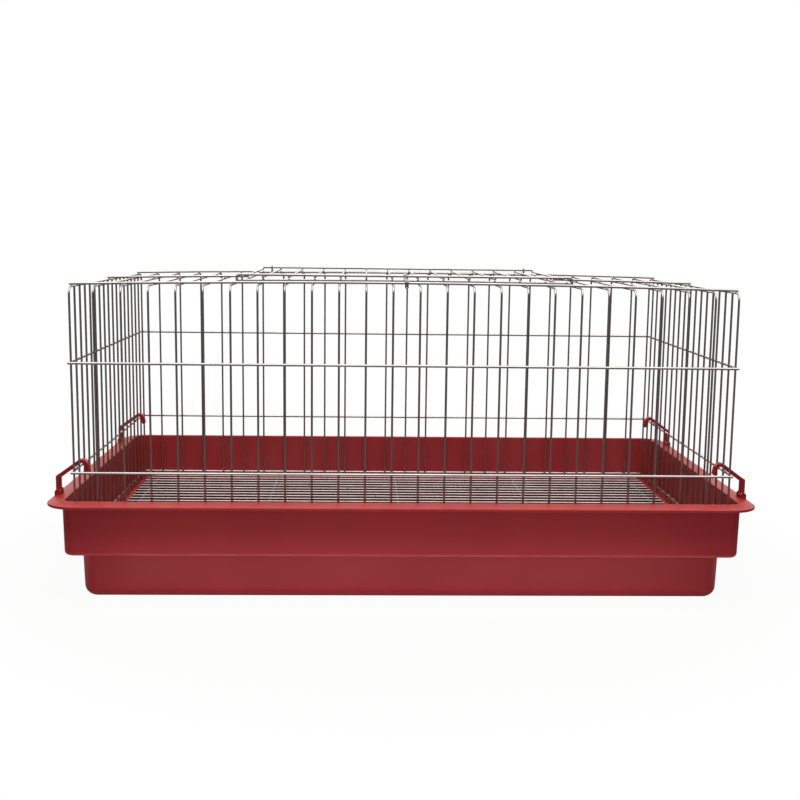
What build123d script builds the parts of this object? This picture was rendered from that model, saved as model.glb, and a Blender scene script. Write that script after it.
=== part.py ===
from build123d import *
from math import atan2, cos, degrees, hypot, radians, sin, sqrt, tan
import os

# Wire top: overall sizes between wire centres, in millimetres over the table
cage_width = 742.0
cage_depth = 408.0
top_height = 356.0
top_arch = 4.4

# Wire: the thin one that fills the walls, the thicker one that frames them
wire_diameter = 2.4
rail_diameter = 3.0
weld_gap = 0.02
rest_gap = 0.3

# Hoop wires go up the front, over the top and down the back; side wires stand between the corners
inner_hoops = 24
hoop_end_pitch = 26.0
hoop_bend = 9.5
side_bays = 17

# Rails of the walls and of the top
bottom_rail_rise = 8.5
low_rail_rise = 31.0
mid_rail_height = 271.8
rail_overhang = 3.0
bottom_rail_overhang = 0.6
corner_gap = 0.2
top_rail_setback = 14.0
mid_top_rail_y = 0.0

# Top opening and its door
opening_hoop = 6
door_front_setback = 67.0
hinge_setback = 52.0
door_lap = 6.0
stub_overhang = 1.5
door_side_gap = 5.0
door_foot_bend = 4.0
door_wire_overhang = 1.3
hinge_ring_wire = 2.0
hinge_ring_inset = 17.5
hinge_ring_clearance = 0.35

# Latch: a hairpin that turns on the door's front wire and drops in front of the front top rail
latch_wire = 1.8
latch_strand_offset = 1.2
latch_eye_clearance = 0.45
latch_eye_turn = 250.0
latch_bend = 2.0
latch_drop = 5.0

# Tray: a basin, a ledge for the wire top, an upper wall and a flat rim that slopes outwards
tray_wall = 2.5
tray_floor = 2.5
ledge_height = 56.0
rim_height = 117.0
side_wall_gap = 11.0
end_wall_gap = 6.0
ledge_width = 15.5
basin_draft = 1.7
wall_draft = 0.94
basin_corner = 16.0
wall_corner = 11.5
basin_round = 13.0
step_round = 5.0
inner_round = 2.0
flange_width = 17.0
flange_fall = 2.5
flange_edge = 3.0
flange_corner = 33.0
flange_round = 1.0

# Floor grid: a comb of long wires on crossbars that lie on the ledge
grid_wires = 25
grid_crossbars = 5
grid_side_gap = 10.0
grid_end_gap = 5.0
crossbar_inset = 14.0
grid_wire_inset = 7.0

# Hook clips: section across the rim, measured from the side low rail's centre
clip_bays = 1.5
clip_width = 8.0
clip_leg = 5.2
clip_arm = 4.6
clip_tip = 4.4
clip_foot_radius = 3.0
clip_edge = 0.6
pivot_inset = 4.6
pivot_drop = 28.9
arm_slope = 36.0
crook_in = 3.2
crook_rise = 1.6
crook_radius = 5.0
tip_lean = 10.0
tip_length = 6.6

# Trunnions of a clip and the lugs on the rim that hold them
trunnion_radius = 2.0
trunnion_clearance = 0.05
trunnion_end_gap = 0.4
lug_radius = 3.2
lug_thickness = 4.0
lug_side_gap = 0.3
lug_root = 1.0

# Heights that follow the tray: the wire top stands on the ledge, the clips reach from the rim
bottom_rail_height = ledge_height + bottom_rail_rise
low_rail_height = rim_height + low_rail_rise

# Places of the wires
hoop_span = cage_width - 2 * hoop_end_pitch
hoop_pitch = hoop_span / (inner_hoops - 1)
inner_x = [-hoop_span / 2 + hoop_pitch * number for number in range(inner_hoops)]
hoop_x = [-cage_width / 2, *inner_x, cage_width / 2]
side_pitch = cage_depth / side_bays
side_y = [-cage_depth / 2 + side_pitch * number for number in range(1, side_bays)]
wire_foot = ledge_height + weld_gap
bend_y = cage_depth / 2 - hoop_bend

# A rail lies on the outside of the wires that it joins
cross_offset = (wire_diameter + rail_diameter) / 2 + weld_gap
end_rail_y = cage_depth / 2 + cross_offset
side_rail_x = cage_width / 2 + cross_offset
top_rail_z = top_height + cross_offset
top_rail_y = cage_depth / 2 - top_rail_setback
rail_half = cage_width / 2 + rail_overhang
bottom_rail_half = cage_width / 2 + bottom_rail_overhang
side_rail_half = end_rail_y - rail_diameter / 2 - corner_gap

# Places of the door: flat, a rest gap over the middle of the opening's rails, the latch over the top rail
opening_half = -hoop_x[opening_hoop]
last_hoop = len(hoop_x) - opening_hoop
left_x = hoop_x[: opening_hoop + 1]
cut_x = hoop_x[opening_hoop + 1 : last_hoop - 1]
right_x = hoop_x[last_hoop - 1 :]
door_front_y = -cage_depth / 2 + door_front_setback
hinge_y = cage_depth / 2 - hinge_setback
opening_front_y = door_front_y + door_lap
rail_top = top_rail_z + rail_diameter / 2
seat_by_wires = rest_gap + wire_diameter + weld_gap
seat_by_latch = rest_gap + latch_wire + latch_eye_clearance
door_z = rail_top + top_arch + max(seat_by_wires, seat_by_latch) + rail_diameter / 2
door_wire_z = door_z - cross_offset
door_side_x = opening_half - door_side_gap


def arch_at(x):
    """Rise of the top over its left and right ends, on the arc of a large circle."""
    radius = (cage_width / 2) ** 2 / (2 * top_arch) + top_arch / 2
    return sqrt(radius**2 - x**2) - radius + top_arch


def straight_wires(plane, points, length, diameter):
    """Round wires of one length that stand on a plane at the given points of it."""
    with BuildPart() as wires:
        with BuildSketch(plane):
            with Locations(*points):
                Circle(diameter / 2)
        extrude(amount=length)
    return wires.part


def wires_along_x(points, start, end, diameter):
    """Wires from left to right through points (y, z)."""
    return straight_wires(Plane.YZ.offset(start), points, end - start, diameter)


def wires_along_y(points, start, end, diameter):
    """Wires from front to back through points (x, z)."""
    return straight_wires(Plane.XZ.offset(-end), points, end - start, diameter)


def wires_along_z(points, start, end, diameter):
    """Upright wires through points (x, y)."""
    return straight_wires(Plane.XY.offset(start), points, end - start, diameter)


def arched_rail(y, start, end):
    """A rail from left to right that lies on the arched top wires."""
    with BuildPart() as rail:
        with BuildLine(Plane.XZ.offset(-y)) as path:
            ThreePointArc(*[(x, top_rail_z + arch_at(x)) for x in (start, (start + end) / 2, end)])
        with BuildSketch(Plane(path.line @ 0, z_dir=path.line % 0)):
            Circle(rail_diameter / 2)
        sweep(path=path.line)
    return rail.part


def end_wires(side):
    """The upright ends of the hoop wires, front (-1) or back (1), with their bends at the top."""
    upright_y = side * cage_depth / 2
    with BuildPart() as wires:
        for x in hoop_x:
            bend_height = top_height + arch_at(x) - hoop_bend
            with BuildSketch(Plane.XY.offset(wire_foot)):
                with Locations((x, upright_y)):
                    Circle(wire_diameter / 2)
            extrude(amount=bend_height - wire_foot)
            with BuildSketch(Plane.XY.offset(bend_height)):
                with Locations((x, upright_y)):
                    Circle(wire_diameter / 2)
            revolve(axis=Axis((x, side * bend_y, bend_height), (side, 0, 0)), revolution_arc=90)
    return wires.part


def level_face(builder, height):
    """The first level face of a part at a height."""
    return builder.faces().filter_by(Axis.Z).filter_by_position(Axis.Z, height - 0.01, height + 0.01)[0]


# Tray
wall_x = cage_width / 2 + side_wall_gap + tray_wall
wall_y = cage_depth / 2 + end_wall_gap + tray_wall
basin_x = wall_x - ledge_width
basin_y = wall_y - ledge_width
step_height = ledge_height - tray_floor
basin_spread = step_height * tan(radians(basin_draft))
wall_spread = (rim_height - step_height) * tan(radians(wall_draft))
rim_x = wall_x + wall_spread
rim_y = wall_y + wall_spread
flange_x = rim_x + flange_width
flange_y = rim_y + flange_width
flange_top = rim_height - flange_fall
flange_bottom = flange_top - flange_edge

# Places of the clips, each in a gap between side wires, and of their pivots over the rim
clip_y = cage_depth / 2 - clip_bays * side_pitch
pivot_x = flange_x - pivot_inset
pivot_z = low_rail_height - pivot_drop
lug_offset = clip_width / 2 + lug_side_gap + lug_thickness / 2
lug_bottom = flange_top - lug_root
clip_places = [(side, y) for side in (-1, 1) for y in (-clip_y, clip_y)]

# Spaces inside the tray: the basin up to the ledge, then the upper wall's inside up to the rim
with BuildPart() as basin_space:
    with BuildSketch(Plane.XY.offset(tray_floor)):
        RectangleRounded(
            2 * (basin_x - basin_spread - tray_wall),
            2 * (basin_y - basin_spread - tray_wall),
            basin_corner - tray_wall,
        )
    extrude(amount=ledge_height - tray_floor, taper=-basin_draft)
    fillet(basin_space.edges().group_by(Axis.Z)[0], basin_round - tray_floor)

with BuildPart() as wall_space:
    with BuildSketch(Plane.XY.offset(ledge_height)):
        RectangleRounded(
            2 * (wall_x - tray_wall), 2 * (wall_y - tray_wall), wall_corner - tray_wall
        )
    extrude(amount=rim_height - ledge_height, taper=-wall_draft)
    fillet(wall_space.edges().group_by(Axis.Z)[0], inner_round)

with BuildPart() as tray:
    with BuildSketch():
        RectangleRounded(2 * (basin_x - basin_spread), 2 * (basin_y - basin_spread), basin_corner)
    extrude(amount=step_height, taper=-basin_draft)
    fillet(tray.edges().group_by(Axis.Z)[0], basin_round)
    with BuildSketch(Plane.XY.offset(step_height)):
        RectangleRounded(2 * wall_x, 2 * wall_y, wall_corner)
    extrude(amount=rim_height - step_height, taper=-wall_draft)
    step = level_face(tray, step_height)
    fillet(step.outer_wire().edges(), step_round)
    # Rim: a flat edge, then a top that slopes up to the wall
    with BuildSketch(Plane.XY.offset(flange_bottom)):
        RectangleRounded(2 * flange_x, 2 * flange_y, flange_corner)
    extrude(amount=flange_edge)
    with BuildSketch(Plane.XY.offset(flange_top)):
        RectangleRounded(2 * flange_x, 2 * flange_y, flange_corner)
    with BuildSketch(Plane.XY.offset(rim_height)):
        RectangleRounded(2 * rim_x, 2 * rim_y, wall_corner + wall_spread)
    loft()
    # Inside of the tray, with a soft edge from the ledge to the basin
    add(basin_space.part, mode=Mode.SUBTRACT)
    add(wall_space.part, mode=Mode.SUBTRACT)
    ledge = level_face(tray, ledge_height)
    fillet(ledge.inner_wires()[0].edges(), inner_round)
    mouth = level_face(tray, rim_height)
    fillet(mouth.inner_wires()[0].edges(), flange_round)
    fillet(tray.edges().filter_by_position(Axis.Z, flange_top - 0.01, flange_top + 0.01), flange_round)
    underside = level_face(tray, flange_bottom)
    fillet(underside.outer_wire().edges(), flange_round)
    # Lugs that hold the clips' trunnions
    for side, place_y in clip_places:
        for end in (-1, 1):
            with BuildSketch(Plane.XZ.offset(-place_y - end * lug_offset)):
                with Locations((side * pivot_x, pivot_z)):
                    Circle(lug_radius)
                with Locations((side * pivot_x, (pivot_z + lug_bottom) / 2)):
                    Rectangle(2 * lug_radius, pivot_z - lug_bottom)
            extrude(amount=lug_thickness / 2, both=True)
        with BuildSketch(Plane.XZ.offset(-place_y)):
            with Locations((side * pivot_x, pivot_z)):
                Circle(trunnion_radius + trunnion_clearance)
        extrude(amount=lug_offset + lug_thickness, both=True, mode=Mode.SUBTRACT)

# Floor grid
crossbar_z = ledge_height + weld_gap + rail_diameter / 2
grid_z = crossbar_z + cross_offset
crossbar_half = cage_depth / 2 - grid_end_gap
grid_half = cage_width / 2 - grid_side_gap
crossbar_pitch = 2 * (grid_half - crossbar_inset) / (grid_crossbars - 1)
crossbar_x = [crossbar_inset - grid_half + crossbar_pitch * number for number in range(grid_crossbars)]
grid_pitch = 2 * (crossbar_half - grid_wire_inset) / (grid_wires - 1)
grid_y = [grid_wire_inset - crossbar_half + grid_pitch * number for number in range(grid_wires)]
floor_grid_crossbars = wires_along_y(
    [(x, crossbar_z) for x in crossbar_x], -crossbar_half, crossbar_half, rail_diameter
)
floor_grid_wires = wires_along_x([(y, grid_z) for y in grid_y], -grid_half, grid_half, wire_diameter)

# Walls of the wire top
front_wires = end_wires(-1)
back_wires = end_wires(1)
side_top = top_height - wire_diameter / 2 - weld_gap
side_wires = {
    name: wires_along_z([(x, y) for y in side_y], wire_foot, side_top, wire_diameter)
    for name, x in (("left_wires", -cage_width / 2), ("right_wires", cage_width / 2))
}
rail_heights = {"bottom": bottom_rail_height, "low": low_rail_height, "mid": mid_rail_height}
rails = {}
for level, height in rail_heights.items():
    half = bottom_rail_half if level == "bottom" else rail_half
    for wall, y in (("front", -end_rail_y), ("back", end_rail_y)):
        rails[f"{wall}_{level}_rail"] = wires_along_x([(y, height)], -half, half, rail_diameter)
    for wall, x in (("left", -side_rail_x), ("right", side_rail_x)):
        rails[f"{wall}_{level}_rail"] = wires_along_y(
            [(x, height)], -side_rail_half, side_rail_half, rail_diameter
        )

# Top of the wire top: whole wires beside the opening, stubs before and behind it, rails over them
left_tops, cut_tops, right_tops = [
    [(x, top_height + arch_at(x)) for x in row] for row in (left_x, cut_x, right_x)
]
top_wires_left = wires_along_y(left_tops, -bend_y, bend_y, wire_diameter)
top_wires_right = wires_along_y(right_tops, -bend_y, bend_y, wire_diameter)
top_front_stubs = wires_along_y(cut_tops, -bend_y, opening_front_y + stub_overhang, wire_diameter)
top_rear_stubs = wires_along_y(cut_tops, hinge_y - stub_overhang, bend_y, wire_diameter)
front_top_rail = arched_rail(-top_rail_y, -rail_half, rail_half)
rear_top_rail = arched_rail(top_rail_y, -rail_half, rail_half)
mid_top_rail_left = arched_rail(mid_top_rail_y, -rail_half, -opening_half)
mid_top_rail_right = arched_rail(mid_top_rail_y, opening_half, rail_half)
opening_rail_half = opening_half + bottom_rail_overhang
opening_front_rail = arched_rail(opening_front_y, -opening_rail_half, opening_rail_half)
opening_rear_rail = arched_rail(hinge_y, -opening_rail_half, opening_rail_half)

# Hinge rings: long links round the rear rail of the opening and the door's rear wire
ring_path_radius = (rail_diameter + hinge_ring_wire) / 2 + hinge_ring_clearance
ring_x = opening_half - hinge_ring_inset
ring_foot_z = top_rail_z + arch_at(ring_x)
with BuildPart() as hinge_rings:
    for x in (-ring_x, ring_x):
        with BuildSketch(Plane.XY.offset(ring_foot_z)):
            with Locations((x, hinge_y - ring_path_radius), (x, hinge_y + ring_path_radius)):
                Circle(hinge_ring_wire / 2)
        extrude(amount=door_z - ring_foot_z)
        for end_z, turn in ((ring_foot_z, -1), (door_z, 1)):
            with BuildSketch(Plane.XY.offset(end_z)):
                with Locations((x, hinge_y + ring_path_radius)):
                    Circle(hinge_ring_wire / 2)
            revolve(axis=Axis((x, hinge_y, end_z), (turn, 0, 0)), revolution_arc=180)

# Door
door_wire_front = door_front_y - door_wire_overhang
door_rear_wire = wires_along_x([(hinge_y, door_z)], -door_side_x, door_side_x, rail_diameter)
door_side_wires = wires_along_y(
    [(x, door_wire_z) for x in (-door_side_x, door_side_x)], door_wire_front, hinge_y, wire_diameter
)
door_wires = wires_along_y([(x, door_wire_z) for x in cut_x], door_wire_front, hinge_y, wire_diameter)
foot_z = top_height + arch_at(opening_half) + wire_diameter / 2 + rest_gap
with BuildPart() as door_front_wire:
    with BuildLine(Plane.XZ.offset(-door_front_y)) as front_path:
        FilletPolyline(
            (-opening_half, foot_z),
            (-opening_half, door_z),
            (opening_half, door_z),
            (opening_half, foot_z),
            radius=door_foot_bend,
        )
    with BuildSketch(Plane.XY.offset(foot_z)):
        with Locations((-opening_half, door_front_y)):
            Circle(rail_diameter / 2)
    sweep(path=front_path.line)

# Latch: one strand with its eye and hook, its mirror image, then the half turn that joins them
eye_radius = (rail_diameter + latch_wire) / 2 + latch_eye_clearance
strand_z = door_z - eye_radius
hook_y = -top_rail_y - (rail_diameter + latch_wire) / 2 - rest_gap
tip_z = strand_z - latch_bend - latch_drop
with BuildPart() as latch_hook:
    with BuildSketch(Plane.XZ.offset(-door_front_y)):
        with Locations((latch_strand_offset, strand_z)):
            Circle(latch_wire / 2)
    revolve(axis=Axis((0, door_front_y, door_z), (1, 0, 0)), revolution_arc=latch_eye_turn)
    with BuildSketch(Plane.XZ.offset(-door_front_y)):
        with Locations((latch_strand_offset, strand_z)):
            Circle(latch_wire / 2)
    extrude(amount=door_front_y - hook_y - latch_bend)
    with BuildSketch(Plane.XY.offset(tip_z)):
        with Locations((latch_strand_offset, hook_y)):
            Circle(latch_wire / 2)
    extrude(amount=latch_drop)
    with BuildSketch(Plane.XY.offset(tip_z + latch_drop)):
        with Locations((latch_strand_offset, hook_y)):
            Circle(latch_wire / 2)
    revolve(axis=Axis((0, hook_y + latch_bend, tip_z + latch_drop), (-1, 0, 0)), revolution_arc=90)
    mirror(about=Plane.YZ)
    with BuildSketch(Plane.XY.offset(tip_z)):
        with Locations((latch_strand_offset, hook_y)):
            Circle(latch_wire / 2)
    revolve(axis=Axis((0, hook_y, tip_z), (0, 1, 0)), revolution_arc=180)


def hook_clip(side, place_y):
    """A clip over a side low rail: foot, leg, arm, crook and tip in one moulding, with trunnions."""
    pivot = (side * pivot_x, pivot_z)
    crook = (side * (side_rail_x - crook_in), low_rail_height + crook_rise)
    arm_end = (
        crook[0] + side * crook_radius * sin(radians(arm_slope)),
        crook[1] + crook_radius * cos(radians(arm_slope)),
    )
    elbow = (pivot[0], arm_end[1] - abs(pivot[0] - arm_end[0]) * tan(radians(arm_slope)))
    tip_start = (
        crook[0] - side * crook_radius * cos(radians(tip_lean)),
        crook[1] + crook_radius * sin(radians(tip_lean)),
    )
    tip = (
        tip_start[0] - side * tip_length * sin(radians(tip_lean)),
        tip_start[1] - tip_length * cos(radians(tip_lean)),
    )
    leg = (pivot, elbow, clip_leg)
    arm = (elbow, arm_end, clip_arm)
    hook = (tip_start, tip, clip_tip)
    with BuildPart() as clip:
        with BuildLine() as bend:
            CenterArc(crook, crook_radius, 90 - side * arm_slope, side * (90 + arm_slope - tip_lean))
        with BuildSketch(Plane.XZ.offset(-place_y)):
            for start, end, thickness in (leg, arm, hook):
                run, rise = end[0] - start[0], end[1] - start[1]
                with Locations(((start[0] + end[0]) / 2, (start[1] + end[1]) / 2)):
                    SlotCenterToCenter(hypot(run, rise), thickness, rotation=degrees(atan2(rise, run)))
            SlotArc(bend.edge(), clip_arm)
            with Locations(pivot):
                Circle(clip_foot_radius)
        extrude(amount=clip_width / 2, both=True)
        cheeks = clip.faces().filter_by(Axis.Y).sort_by(Axis.Y)
        chamfer(cheeks[0].edges() + cheeks[-1].edges(), clip_edge)
        with BuildSketch(Plane.XZ.offset(-place_y)):
            with Locations(pivot):
                Circle(trunnion_radius)
        extrude(amount=lug_offset + lug_thickness / 2 - trunnion_end_gap, both=True)
    return clip.part


clip_names = ["clip_front_left", "clip_rear_left", "clip_front_right", "clip_rear_right"]
clips = {name: hook_clip(*place) for name, place in zip(clip_names, clip_places)}

pieces = {
    "tray": tray.part,
    "floor_grid_crossbars": floor_grid_crossbars,
    "floor_grid_wires": floor_grid_wires,
    "front_wires": front_wires,
    "back_wires": back_wires,
    **side_wires,
    **rails,
    "top_wires_left": top_wires_left,
    "top_wires_right": top_wires_right,
    "top_front_stubs": top_front_stubs,
    "top_rear_stubs": top_rear_stubs,
    "front_top_rail": front_top_rail,
    "rear_top_rail": rear_top_rail,
    "mid_top_rail_left": mid_top_rail_left,
    "mid_top_rail_right": mid_top_rail_right,
    "opening_front_rail": opening_front_rail,
    "opening_rear_rail": opening_rear_rail,
    "hinge_rings": hinge_rings.part,
    "door_rear_wire": door_rear_wire,
    "door_front_wire": door_front_wire.part,
    "door_side_wires": door_side_wires,
    "door_wires": door_wires,
    "latch_hook": latch_hook.part,
    **clips,
}

os.makedirs("parts", exist_ok=True)
for name, piece in pieces.items():
    piece.label = name
    export_step(piece, f"parts/{name}.step")
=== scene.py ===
import math
from itertools import combinations

import bmesh
import bpy
from mathutils import Matrix, Vector


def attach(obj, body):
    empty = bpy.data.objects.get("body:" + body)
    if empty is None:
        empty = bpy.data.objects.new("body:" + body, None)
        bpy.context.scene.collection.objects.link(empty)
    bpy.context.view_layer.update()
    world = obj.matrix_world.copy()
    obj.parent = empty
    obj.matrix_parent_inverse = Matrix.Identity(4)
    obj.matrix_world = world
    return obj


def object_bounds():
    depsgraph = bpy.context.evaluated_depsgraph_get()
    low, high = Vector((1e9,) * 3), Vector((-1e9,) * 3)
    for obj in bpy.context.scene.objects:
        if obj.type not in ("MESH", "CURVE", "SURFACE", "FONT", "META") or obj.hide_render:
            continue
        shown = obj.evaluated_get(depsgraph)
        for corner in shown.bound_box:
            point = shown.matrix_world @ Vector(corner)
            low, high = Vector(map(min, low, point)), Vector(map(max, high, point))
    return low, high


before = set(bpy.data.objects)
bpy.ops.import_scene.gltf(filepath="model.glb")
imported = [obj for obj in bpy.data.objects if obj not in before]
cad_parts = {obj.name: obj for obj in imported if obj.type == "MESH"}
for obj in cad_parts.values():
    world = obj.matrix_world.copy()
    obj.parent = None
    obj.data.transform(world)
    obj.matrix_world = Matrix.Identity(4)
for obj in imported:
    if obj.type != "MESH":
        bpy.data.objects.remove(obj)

cad_low, cad_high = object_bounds()

# Camera, in metres and degrees
CAMERA_EYE = (-0.0462, -1.4692, 0.41715)
CAMERA_YAW = 1.80
CAMERA_PITCH = 8.265
CAMERA_ROLL = 0.705
CAMERA_LENS_MM = 51.37
SENSOR_MM = 36.0

# Floor: a round white table, which fades to pure white towards its edge
FLOOR_RADIUS = 0.62
FLOOR_SIDES = 96
FLOOR_FADE = (0.45, FLOOR_RADIUS)
FLOOR_GREY = (0.75, 0.75, 0.75)
FLOOR_WHITE_SHARE = 0.95
FLOOR_IN_REFLECTIONS = 0.2

# Room that the wires reflect: levels of light, and the directions between which each fades in
AMBIENT_LEVEL = 0.08
DARK_ROOM_LEVEL = 0.055
FRONT_LEVEL = 0.14
FRONT_FADE = (-0.7, -0.98)
BACKDROP_LEVEL = 1.45
BACKDROP_FADE = (0.5, 0.8)
HORIZON_FADE = (0.0, 0.12)
CEILING_LEVEL = 0.55
CEILING_FADE = (0.25, 0.6)
GLARE_LEVEL = 1.8
GLARE_FADE = (0.72, 0.96)
GLARE_DIRECTION = (0.0, -0.33, 0.944)
WHITE = (1.0, 1.0, 1.0)
ROOM_TINT = (1.0, 0.965, 0.955)
BACKDROP_TINT = (1.0, 0.96, 0.88)

# Softboxes: name, place, target, width, height, watts, colour
WARM_LIGHT = (1.0, 0.95, 0.87)
COOL_LIGHT = (0.92, 0.96, 1.0)
SOFTBOXES = (
    ("overhead_softbox", (0.0, -0.5, 1.55), (0.0, -0.05, 0.1), 2.3, 0.9, 27.0, WARM_LIGHT),
    ("front_fill", (0.0, -1.0, 0.5), (0.0, 0.0, 0.06), 0.3, 0.3, 0.6, COOL_LIGHT),
)

# Light that the white table throws back onto each side of the tray:
# name, outward direction, gap from the rim, length, depth, lean towards the tray, watts
BOUNCES = (
    ("front_bounce", 0, -1, 0.035, 0.68, 0.03, 2.0, 0.085),
    ("rear_bounce", 0, 1, 0.06, 0.72, 0.12, 0.3, 0.40),
    ("left_bounce", -1, 0, 0.06, 0.40, 0.12, 0.3, 0.25),
    ("right_bounce", 1, 0, 0.06, 0.40, 0.12, 0.3, 0.25),
)
BOUNCE_CLEAR = 0.001

# Nodes of the cage by kind
CROSSWISE_WALLS = ("front", "back")
LENGTHWISE_WALLS = ("left", "right")
RAIL_HEIGHTS = ("bottom", "low", "mid")
CROSSWISE_RAILS = [f"{wall}_{height}_rail" for wall in CROSSWISE_WALLS for height in RAIL_HEIGHTS]
LENGTHWISE_RAILS = [f"{wall}_{height}_rail" for wall in LENGTHWISE_WALLS for height in RAIL_HEIGHTS]
TOP_RAILS = ["front_top_rail", "rear_top_rail", "mid_top_rail_left", "mid_top_rail_right",
             "opening_front_rail", "opening_rear_rail"]
UPRIGHTS = [f"{wall}_wires" for wall in CROSSWISE_WALLS + LENGTHWISE_WALLS]
TOP_WIRES = ["top_wires_left", "top_wires_right", "top_front_stubs", "top_rear_stubs"]
DOOR_RAILS = ["door_rear_wire", "door_front_wire"]
DOOR_WIRES = ["door_side_wires", "door_wires"]
CLIPS = [f"clip_{end}_{side}" for end in ("front", "rear") for side in ("left", "right")]

# Wire: bright and dull colours, noise cells per metre, and the noise values where a mark fades in
ZINC = ((0.66, 0.65, 0.64), (0.58, 0.57, 0.56))
ZINC_CLOUDS = 30
ZINC_DULL_FADE = (0.35, 0.7)
ZINC_ROUGH_FADE = (0.3, 0.75)
ZINC_ROUGHNESS = (0.20, 0.27)
DRAW_LINES = 2600
DRAW_LINE_SQUEEZE = 0.02
DRAW_LINE_STRENGTH = 0.03
DRAW_LINE_DEPTH = 0.0001
TARNISH = (0.58, 0.49, 0.46)
TARNISH_HEIGHT = (0.26, 0.16)
TARNISH_ROUGHNESS = (0.23, 0.40)
RUST = (0.56, 0.38, 0.34)
RUST_HEIGHT = (0.165, 0.125)
RUST_PATCHES = 60
RUST_LEAST = 0.45
WORN_ZINC = ((0.57, 0.515, 0.505), (0.47, 0.425, 0.415))
SPECK_BROWN = (0.17, 0.11, 0.08)
SPECKS = 420
SPECK_FADE = (0.66, 0.74)
WELD_METAL = ((0.34, 0.33, 0.32), (0.52, 0.51, 0.50))
WELD_GRAIN = 900
WELD_ROUGHNESS = (0.32, 0.46)

# Moulded red: the same kinds of values
RED = ((0.43, 0.0195, 0.030), (0.39, 0.016, 0.0265))
RED_CLOUDS = 9
RED_GRAIN = 1500
RED_GRAIN_STRENGTH = 0.12
RED_GRAIN_DEPTH = 0.0002
TRAY_ROUGHNESS = (0.47, 0.55)
CLIP_ROUGHNESS = (0.38, 0.46)
MIDDLE_FADE = (0.3, 0.7)
PATCH_FADE = (0.25, 0.7)

# Dust inside the tray, and painted shade on the ledge and in the basin under the grid, by the way a face
# points and by its height
INWARD_FADE = (-0.02, -0.06)
UPWARD_FADE = (0.3, 0.8)
DUST_AND_SHADE_PATCHES = 12
DUST = (0.45, 0.38, 0.36)
DUST_FADE = (0.2, 0.8)
DUST_SHARE = (0.03, 0.09)
# Painted shade: the dark reds that the ledge and the basin under the grid are coloured, as if in shadow
PAINTED_SHADE_LIGHT = (0.085, 0.012, 0.012)
PAINTED_SHADE_DARK = (0.040, 0.008, 0.008)
LEDGE_HEIGHT = (0.0580, 0.0565)
LEDGE_SHADE_SHARE = 0.5
BASIN_HEIGHT = (0.0555, 0.050)

# Wear outside the tray, a painted sheen on the rim's top and a painted highlight at the step; each pale
# edge band has its lowest and highest point and its share of pale red
# Painted sheen: the paler, warmer red of the rim's upper face and the heights where it starts
RIM_SHEEN_RED = (0.41, 0.0215, 0.017)
RIM_SHEEN_FROM = (0.1135, 0.1165)
RIM_SHEEN_PATCHES = 20
RIM_SHEEN_LEAST = 0.6
WEAR_AND_HIGHLIGHT_RED = (0.62, 0.10, 0.10)
# Edge bands: the band under the step is a painted highlight, the bands round the rim and under the basin
# are wear
WORN_AND_HIGHLIGHT_EDGES = ((0.0536, 0.0560, 0.55), (0.1115, 0.1150, 0.30), (0.0005, 0.0060, 0.15))
EDGE_BAND_FADE = 0.0015
EDGE_BAND_SLANT = (0.05, 0.4)
EDGE_BAND_PATCHES = 35
EDGE_BAND_LEAST = 0.35
SCUFFS = 500
SCUFF_SQUEEZE = 0.03
SCUFF_FADE = (0.62, 0.72)
SCUFF_PATCHES = 14
SCUFF_PATCH_SHIFT = (3, 1, 2)
SCUFF_PATCH_FADE = (0.45, 0.7)
SCUFF_SHARE = 0.10

# Welds: crossing wires stand between these gaps apart, and the lengths of one bent wire touch
WELD_GAP_LEAST = 0.000005
WELD_GAP_MOST = 0.0001
WELD_LONGEST = 0.006
WELD_SPREAD = 0.00125
WELD_HALF_HEIGHT = 0.0008
BEAD_SIDES = 8
BEAD_RINGS = 6
SAME_POINT = 0.000001
Z_AXIS = 2


def make_camera():
    data = bpy.data.cameras.new("photo_camera")
    data.sensor_width = SENSOR_MM
    data.lens = CAMERA_LENS_MM
    camera = bpy.data.objects.new("photo_camera", data)
    bpy.context.collection.objects.link(camera)
    turn = Matrix.Rotation(math.radians(-CAMERA_YAW), 4, "Z")
    tilt = Matrix.Rotation(math.radians(90 - CAMERA_PITCH), 4, "X")
    roll = Matrix.Rotation(math.radians(CAMERA_ROLL), 4, "Z")
    camera.matrix_world = Matrix.Translation(CAMERA_EYE) @ turn @ tilt @ roll
    bpy.context.scene.camera = camera


# Nodes of the materials and of the world
def feed(tree, socket, value):
    """Links another node's output into an input, or sets the input to a plain value."""
    if isinstance(value, bpy.types.NodeSocket):
        tree.links.new(value, socket)
    else:
        socket.default_value = value


def add_node(tree, kind, **values):
    """A node with its options set, and its inputs fed by name."""
    node = tree.nodes.new(kind)
    for name, value in values.items():
        if name in node.inputs:
            feed(tree, node.inputs[name], value)
        else:
            setattr(node, name, value)
    return node


def math_node(tree, operation, first, second=0.0):
    node = add_node(tree, "ShaderNodeMath", operation=operation)
    feed(tree, node.inputs[0], first)
    feed(tree, node.inputs[1], second)
    return node.outputs["Value"]


def multiply(tree, first, second):
    return math_node(tree, "MULTIPLY", first, second)


def larger(tree, first, second):
    return math_node(tree, "MAXIMUM", first, second)


def ease(tree, value, start, end, low=0.0, high=1.0):
    """Eases from low to high while value goes from start to end."""
    limits = {"From Min": start, "From Max": end, "To Min": low, "To Max": high}
    node = add_node(tree, "ShaderNodeMapRange", interpolation_type="SMOOTHSTEP", Value=value, **limits)
    return node.outputs["Result"]


def blend_colours(tree, share, first, second):
    """The first colour where share is 0, and the second where it is 1."""
    node = add_node(tree, "ShaderNodeMix", data_type="RGBA", Factor=share)
    colour_inputs = [socket for socket in node.inputs if socket.type == "RGBA"]
    for socket, colour in zip(colour_inputs, (first, second)):
        linked = isinstance(colour, bpy.types.NodeSocket)
        feed(tree, socket, colour if linked else (*colour, 1.0))
    return next(socket for socket in node.outputs if socket.type == "RGBA")


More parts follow.
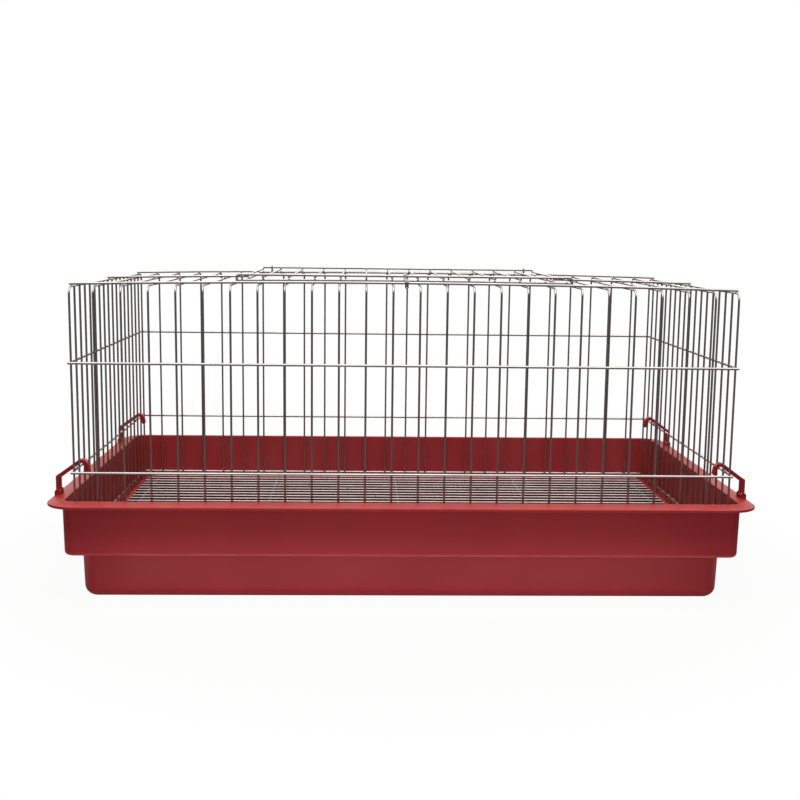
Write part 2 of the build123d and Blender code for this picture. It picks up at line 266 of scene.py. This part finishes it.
# Studio
def make_world():
    """White to the camera; in reflections a bright ceiling, glare and backdrop in a dark room."""
    world = bpy.data.worlds.new("studio")
    bpy.context.scene.world = world
    world.use_nodes = True
    tree = world.node_tree
    tree.nodes.clear()
    path = add_node(tree, "ShaderNodeLightPath").outputs
    direction = add_node(tree, "ShaderNodeTexCoord").outputs["Generated"]
    parts = add_node(tree, "ShaderNodeSeparateXYZ", Vector=direction).outputs
    ceiling = ease(tree, parts["Z"], *CEILING_FADE, high=CEILING_LEVEL)
    facing = add_node(tree, "ShaderNodeVectorMath", operation="DOT_PRODUCT")
    feed(tree, facing.inputs[0], direction)
    feed(tree, facing.inputs[1], GLARE_DIRECTION)
    glare = ease(tree, facing.outputs["Value"], *GLARE_FADE, high=GLARE_LEVEL)
    behind = ease(tree, parts["Y"], *BACKDROP_FADE, high=BACKDROP_LEVEL)
    backdrop = multiply(tree, behind, ease(tree, parts["Z"], *HORIZON_FADE))
    bright = larger(tree, math_node(tree, "ADD", ceiling, glare), backdrop)
    room = ease(tree, parts["Y"], *FRONT_FADE, DARK_ROOM_LEVEL, DARK_ROOM_LEVEL + FRONT_LEVEL)
    reflected = larger(tree, bright, room)
    unseen = add_node(tree, "ShaderNodeMix", Factor=path["Is Glossy Ray"], A=AMBIENT_LEVEL, B=reflected)
    seen = larger(tree, path["Is Camera Ray"], path["Is Transmission Ray"])
    level = add_node(tree, "ShaderNodeMix", Factor=seen, A=unseen.outputs["Result"], B=1.0)
    backdrop_share = math_node(tree, "MINIMUM", backdrop, 1.0)
    room_tint = blend_colours(tree, backdrop_share, ROOM_TINT, BACKDROP_TINT)
    tint = blend_colours(tree, path["Is Glossy Ray"], WHITE, room_tint)
    background = add_node(tree, "ShaderNodeBackground", Color=tint, Strength=level.outputs["Result"])
    add_node(tree, "ShaderNodeOutputWorld", Surface=background.outputs["Background"])


def floor_paper():
    """White to the camera but for the object's shadow, and grey in reflections."""
    material = bpy.data.materials.new("floor_white")
    material.use_nodes = True
    tree = material.node_tree
    tree.nodes.clear()
    path = add_node(tree, "ShaderNodeLightPath").outputs
    seen = larger(tree, path["Is Camera Ray"], path["Is Transmission Ray"])
    place = add_node(tree, "ShaderNodeTexCoord").outputs["Object"]
    distance = add_node(tree, "ShaderNodeVectorMath", operation="LENGTH")
    feed(tree, distance.inputs[0], place)
    white = ease(tree, distance.outputs["Value"], *FLOOR_FADE, low=FLOOR_WHITE_SHARE)
    share = larger(tree, multiply(tree, seen, white), path["Is Glossy Ray"])
    level = add_node(tree, "ShaderNodeMix", Factor=path["Is Glossy Ray"], A=1.0, B=FLOOR_IN_REFLECTIONS)
    paper = add_node(tree, "ShaderNodeBsdfDiffuse", Color=(*FLOOR_GREY, 1.0))
    glow = add_node(tree, "ShaderNodeEmission", Color=(*WHITE, 1.0), Strength=level.outputs["Result"])
    mixed = add_node(tree, "ShaderNodeMixShader", Fac=share)
    feed(tree, mixed.inputs[1], paper.outputs["BSDF"])
    feed(tree, mixed.inputs[2], glow.outputs["Emission"])
    add_node(tree, "ShaderNodeOutputMaterial", Surface=mixed.outputs["Shader"])
    return material


def make_floor():
    mesh = bmesh.new()
    bmesh.ops.create_circle(mesh, cap_ends=True, segments=FLOOR_SIDES, radius=FLOOR_RADIUS)
    data = bpy.data.meshes.new("floor")
    mesh.to_mesh(data)
    mesh.free()
    floor = bpy.data.objects.new("floor", data)
    bpy.context.collection.objects.link(floor)
    floor.location.z = cad_low.z
    floor.data.materials.append(floor_paper())


def make_softbox(name, place, target, width, height, watts, colour):
    """A rectangular lamp that shows neither to the camera nor in reflections."""
    data = bpy.data.lights.new(name, "AREA")
    data.shape = "RECTANGLE"
    data.size = width
    data.size_y = height
    data.energy = watts
    data.color = colour
    lamp = bpy.data.objects.new(name, data)
    bpy.context.collection.objects.link(lamp)
    lamp.location = place
    lamp.rotation_euler = (Vector(target) - Vector(place)).to_track_quat("-Z", "Y").to_euler()
    lamp.visible_camera = False
    lamp.visible_glossy = False


def make_bounce(name, out_x, out_y, gap, length, depth, lean, watts):
    """A lamp that lies on the table beside the tray, faces up and leans towards the tray."""
    outwards = Vector((out_x, out_y, 0))
    facing = (Vector((0, 0, 1)) - lean * outwards).normalized()
    place = Vector((out_x * (cad_high.x + gap), out_y * (cad_high.y + gap), cad_low.z + BOUNCE_CLEAR))
    place.z += depth / 2 * math.sqrt(1 - facing.z ** 2)
    make_softbox(name, place, place + facing, length, depth, watts, WHITE)


# Finishes
def new_material(name):
    """A material with one Principled shader; returns the material, its tree and the shader."""
    material = bpy.data.materials.new(name)
    material.use_nodes = True
    tree = material.node_tree
    return material, tree, tree.nodes["Principled BSDF"]


def noise(tree, scale, detail, stretch=(1, 1, 1), shift=(0, 0, 0)):
    """Noise on Object coordinates, drawn out along the axes whose stretch is small."""
    place = add_node(tree, "ShaderNodeTexCoord").outputs["Object"]
    mapped = add_node(tree, "ShaderNodeMapping", Vector=place, Scale=stretch, Location=shift)
    cloud = add_node(tree, "ShaderNodeTexNoise", Vector=mapped.outputs["Vector"],
                     Scale=scale, Detail=detail)
    return cloud.outputs["Fac"]


def patches(tree, scale, detail, least):
    """Uneven patches, from the least share of a mark to the whole of it."""
    return ease(tree, noise(tree, scale, detail), *PATCH_FADE, low=least)


def add_bump(tree, shader, height, strength, distance):
    bump = add_node(tree, "ShaderNodeBump", Height=height, Strength=strength, Distance=distance)
    feed(tree, shader.inputs["Normal"], bump.outputs["Normal"])


def place_and_normal(tree):
    """The X, Y and Z sockets of a point's place on the object and of its normal."""
    place = add_node(tree, "ShaderNodeTexCoord").outputs["Object"]
    normal = add_node(tree, "ShaderNodeNewGeometry").outputs["Normal"]
    return [add_node(tree, "ShaderNodeSeparateXYZ", Vector=vector).outputs for vector in (place, normal)]


def zinc_wire(name, drawn_along, colours=ZINC):
    """Zinc over drawn steel, with faint lines; returns the material, its tree, shader and colour."""
    material, tree, shader = new_material(name)
    cloud = noise(tree, ZINC_CLOUDS, detail=3)
    stretch = tuple(DRAW_LINE_SQUEEZE if axis == drawn_along else 1.0 for axis in "XYZ")
    lines = noise(tree, DRAW_LINES, detail=2, stretch=stretch)
    colour = blend_colours(tree, ease(tree, cloud, *ZINC_DULL_FADE), *colours)
    feed(tree, shader.inputs["Base Color"], colour)
    feed(tree, shader.inputs["Roughness"], ease(tree, cloud, *ZINC_ROUGH_FADE, *ZINC_ROUGHNESS))
    shader.inputs["Metallic"].default_value = 1.0
    add_bump(tree, shader, lines, DRAW_LINE_STRENGTH, DRAW_LINE_DEPTH)
    return material, tree, shader, colour


def upright_wire(name):
    """Wire of the walls, tarnished and dull towards the tray, and rusty just above it."""
    material, tree, shader, colour = zinc_wire(name, "Z")
    height = place_and_normal(tree)[0]["Z"]
    tarnished = blend_colours(tree, ease(tree, height, *TARNISH_HEIGHT), colour, TARNISH)
    uneven = patches(tree, RUST_PATCHES, detail=3, least=RUST_LEAST)
    rusty = multiply(tree, ease(tree, height, *RUST_HEIGHT), uneven)
    feed(tree, shader.inputs["Base Color"], blend_colours(tree, rusty, tarnished, RUST))
    feed(tree, shader.inputs["Roughness"], ease(tree, height, *TARNISH_HEIGHT, *TARNISH_ROUGHNESS))
    return material


def worn_wire(name, drawn_along):
    """Wire of the floor grid, dulled by use, with a few brown specks."""
    material, tree, shader, colour = zinc_wire(name, drawn_along, WORN_ZINC)
    specks = ease(tree, noise(tree, SPECKS, detail=2), *SPECK_FADE)
    feed(tree, shader.inputs["Base Color"], blend_colours(tree, specks, colour, SPECK_BROWN))
    return material


def weld_metal(name):
    """Grey metal of a resistance weld, darker and rougher than the wire."""
    material, tree, shader = new_material(name)
    grain = noise(tree, WELD_GRAIN, detail=2)
    feed(tree, shader.inputs["Base Color"], blend_colours(tree, grain, *WELD_METAL))
    feed(tree, shader.inputs["Roughness"], ease(tree, grain, *MIDDLE_FADE, *WELD_ROUGHNESS))
    shader.inputs["Metallic"].default_value = 1.0
    return material


def moulded_red(name, roughness):
    """Satin moulded polypropylene; returns the material, its tree, shader and colour."""
    material, tree, shader = new_material(name)
    cloud = noise(tree, RED_CLOUDS, detail=3)
    grain = noise(tree, RED_GRAIN, detail=2)
    colour = blend_colours(tree, ease(tree, cloud, *MIDDLE_FADE), *RED)
    feed(tree, shader.inputs["Base Color"], colour)
    feed(tree, shader.inputs["Roughness"], ease(tree, cloud, *MIDDLE_FADE, *roughness))
    add_bump(tree, shader, grain, RED_GRAIN_STRENGTH, RED_GRAIN_DEPTH)
    return material, tree, shader, colour


def dust_and_painted_shade_inside(tree, colour, place, normal):
    """Dust inside the walls, and uneven painted shade, a dark red, on the ledge and in the basin under
    the grid.
    """
    outwards = math_node(tree, "ADD", multiply(tree, place["X"], normal["X"]),
                         multiply(tree, place["Y"], normal["Y"]))
    inwards = ease(tree, outwards, *INWARD_FADE)
    upwards = ease(tree, normal["Z"], *UPWARD_FADE)
    dust_and_shade_noise = noise(tree, DUST_AND_SHADE_PATCHES, detail=4)
    dust = multiply(tree, inwards, ease(tree, dust_and_shade_noise, *DUST_FADE, *DUST_SHARE))
    dusty = blend_colours(tree, dust, colour, DUST)
    # Painted shade: the ledge and the basin under the grid are coloured dark, as if in shadow
    ledge = ease(tree, place["Z"], *LEDGE_HEIGHT, high=LEDGE_SHADE_SHARE)
    basin = ease(tree, place["Z"], *BASIN_HEIGHT)
    painted_shade_share = multiply(tree, larger(tree, inwards, upwards), larger(tree, ledge, basin))
    painted_shade_tone = blend_colours(tree, ease(tree, dust_and_shade_noise, *MIDDLE_FADE), PAINTED_SHADE_LIGHT, PAINTED_SHADE_DARK)
    return blend_colours(tree, painted_shade_share, dusty, painted_shade_tone)


def painted_rim_sheen(tree, colour, place, normal):
    """The rim's upper face coloured a paler, warmer red than the walls: a painted sheen of the light
    from above.
    """
    at_rim = ease(tree, place["Z"], *RIM_SHEEN_FROM)
    upwards = ease(tree, normal["Z"], *UPWARD_FADE)
    uneven = patches(tree, RIM_SHEEN_PATCHES, detail=3, least=RIM_SHEEN_LEAST)
    # Painted sheen on the rim's upper face, in uneven patches
    sheen_share = multiply(tree, multiply(tree, at_rim, upwards), uneven)
    return blend_colours(tree, sheen_share, colour, RIM_SHEEN_RED)


def wear_and_painted_highlight_edges(tree, colour, place, normal):
    """Pales edges: a painted highlight under the step, and wear round the rim and under the basin, which
    are handled or dragged.
    """
    uneven = patches(tree, EDGE_BAND_PATCHES, detail=4, least=EDGE_BAND_LEAST)
    # Bands of pale red: a painted highlight at the step, and wear at the rim and under the basin
    wear_and_highlight = 0.0
    for low, high, share in WORN_AND_HIGHLIGHT_EDGES:
        rising = ease(tree, place["Z"], low - EDGE_BAND_FADE, low)
        falling = ease(tree, place["Z"], high + EDGE_BAND_FADE, high, high=share)
        wear_and_highlight = larger(tree, wear_and_highlight, multiply(tree, rising, falling))
    slanted = ease(tree, math_node(tree, "ABSOLUTE", normal["Z"]), *EDGE_BAND_SLANT)
    rubbed_and_highlight = multiply(tree, multiply(tree, wear_and_highlight, slanted), uneven)
    return blend_colours(tree, rubbed_and_highlight, colour, WEAR_AND_HIGHLIGHT_RED)


def scuff_walls(tree, colour, normal):
    """Fine pale scuffs that run along each wall of the tray."""
    along_x = ease(tree, noise(tree, SCUFFS, detail=3, stretch=(SCUFF_SQUEEZE, 1, 1)), *SCUFF_FADE)
    along_y = ease(tree, noise(tree, SCUFFS, detail=3, stretch=(1, SCUFF_SQUEEZE, 1)), *SCUFF_FADE)
    facing_y = multiply(tree, math_node(tree, "ABSOLUTE", normal["Y"]), along_x)
    facing_x = multiply(tree, math_node(tree, "ABSOLUTE", normal["X"]), along_y)
    here_and_there = noise(tree, SCUFF_PATCHES, detail=2, shift=SCUFF_PATCH_SHIFT)
    share = ease(tree, here_and_there, *SCUFF_PATCH_FADE, high=SCUFF_SHARE)
    scuffed = multiply(tree, math_node(tree, "ADD", facing_x, facing_y), share)
    return blend_colours(tree, scuffed, colour, WEAR_AND_HIGHLIGHT_RED)


def used_tray(name):
    """Moulded red of a used tray: dust, painted shade in the basin and on the ledge, a painted sheen on
    the rim, a painted highlight at the step, worn edges and scuffed walls.
    """
    material, tree, shader, colour = moulded_red(name, TRAY_ROUGHNESS)
    place, normal = place_and_normal(tree)
    colour = dust_and_painted_shade_inside(tree, colour, place, normal)
    colour = painted_rim_sheen(tree, colour, place, normal)
    colour = wear_and_painted_highlight_edges(tree, colour, place, normal)
    colour = scuff_walls(tree, colour, normal)
    feed(tree, shader.inputs["Base Color"], colour)
    return material


def finish_nodes(material, names):
    for name in names:
        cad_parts[name].material_slots[0].material = material


# Welds
def wire_boxes(nodes):
    """The lowest and highest corner of each separate wire in these nodes."""
    boxes = []
    for node in nodes:
        mesh = bmesh.new()
        mesh.from_mesh(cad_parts[node].data)
        bmesh.ops.remove_doubles(mesh, verts=mesh.verts, dist=SAME_POINT)
        reached = set()
        for start in mesh.verts:
            if start in reached:
                continue
            reached.add(start)
            wire = [start]
            for vert in wire:
                neighbours = {edge.other_vert(vert) for edge in vert.link_edges} - reached
                reached |= neighbours
                wire.extend(neighbours)
            low = Vector(min(vert.co[axis] for vert in wire) for axis in range(3))
            high = Vector(max(vert.co[axis] for vert in wire) for axis in range(3))
            boxes.append((low, high))
        mesh.free()
    return boxes


def weld_between(first, second):
    """The point where two wires cross and the axis from one to the other, or None."""
    low = Vector(map(max, first[0], second[0]))
    high = Vector(map(min, first[1], second[1]))
    room = high - low
    across = min(range(3), key=lambda axis: room[axis])
    along = [room[axis] for axis in range(3) if axis != across]
    crosses = WELD_GAP_LEAST < -room[across] < WELD_GAP_MOST
    if not crosses or min(along) <= 0 or max(along) > WELD_LONGEST:
        return None
    return (low + high) / 2, across


def straight_crossings(nodes):
    """The welds between the straight wires of these nodes."""
    welds = (weld_between(*pair) for pair in combinations(wire_boxes(nodes), 2))
    return [weld for weld in welds if weld]


def bent_crossings(rails, nodes):
    """The welds where bent rails, which run along X, lie on the wires of these nodes."""
    wires = wire_boxes(nodes)
    welds = []
    for rail_low, rail_high in wire_boxes(rails):
        rail_y = (rail_low.y + rail_high.y) / 2
        for low, high in wires:
            wire_x = (low.x + high.x) / 2
            if rail_low.x <= wire_x <= rail_high.x and low.y <= rail_y <= high.y:
                welds.append((Vector((wire_x, rail_y, high.z)), Z_AXIS))
    return welds


def make_bead():
    """A small round bead of radius 1, with its faces in the same order in every run."""
    ball = bmesh.new()
    bmesh.ops.create_uvsphere(ball, u_segments=BEAD_SIDES, v_segments=BEAD_RINGS, radius=1.0)
    ball.verts.index_update()
    ball.faces.sort(key=lambda face: face.verts[0].index * len(ball.verts) + face.verts[1].index)
    bead = bpy.data.meshes.new("bead")
    ball.to_mesh(bead)
    ball.free()
    return bead


def make_welds(name, welds, body, material):
    """A flattened bead of weld metal at each place where wires cross."""
    bead = make_bead()
    joined = bmesh.new()
    for point, across in welds:
        size = Vector((WELD_SPREAD, WELD_SPREAD, WELD_SPREAD))
        size[across] = WELD_HALF_HEIGHT
        placed = bead.copy()
        placed.transform(Matrix.LocRotScale(point, None, size))
        joined.from_mesh(placed)
        bpy.data.meshes.remove(placed)
    bpy.data.meshes.remove(bead)
    data = bpy.data.meshes.new(name)
    joined.to_mesh(data)
    joined.free()
    data.shade_smooth()
    piece = bpy.data.objects.new(name, data)
    bpy.context.collection.objects.link(piece)
    data.materials.append(material)
    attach(piece, body)


# Making: the camera and the studio
make_camera()
make_world()
make_floor()
for softbox in SOFTBOXES:
    make_softbox(*softbox)
for bounce in BOUNCES:
    make_bounce(*bounce)

# Making: the finishes of the CAD nodes
finish_nodes(upright_wire("upright_zinc"), UPRIGHTS + ["hinge_rings"])
finish_nodes(zinc_wire("crosswise_zinc", "X")[0], CROSSWISE_RAILS + TOP_RAILS + DOOR_RAILS)
finish_nodes(zinc_wire("lengthwise_zinc", "Y")[0],
             LENGTHWISE_RAILS + TOP_WIRES + DOOR_WIRES + ["latch_hook"])
finish_nodes(worn_wire("grid_zinc", "X"), ["floor_grid_wires"])
finish_nodes(worn_wire("crossbar_zinc", "Y"), ["floor_grid_crossbars"])
finish_nodes(used_tray("tray_red"), ["tray"])
finish_nodes(moulded_red("clip_red", CLIP_ROUGHNESS)[0], CLIPS)

# Making: the welds
weld_grey = weld_metal("weld_grey")
top_welds = straight_crossings(UPRIGHTS + TOP_WIRES + CROSSWISE_RAILS + LENGTHWISE_RAILS)
top_welds += bent_crossings(TOP_RAILS, TOP_WIRES)
grid_welds = straight_crossings(["floor_grid_crossbars", "floor_grid_wires"])
door_welds = straight_crossings(DOOR_RAILS + DOOR_WIRES)
door_welds += bent_crossings(["door_front_wire"], DOOR_WIRES)
make_welds("wire_top_welds", top_welds, "cage", weld_grey)
make_welds("floor_grid_welds", grid_welds, "cage", weld_grey)
make_welds("door_welds", door_welds, "door", weld_grey)

bpy.context.scene.view_settings.view_transform = "Standard"
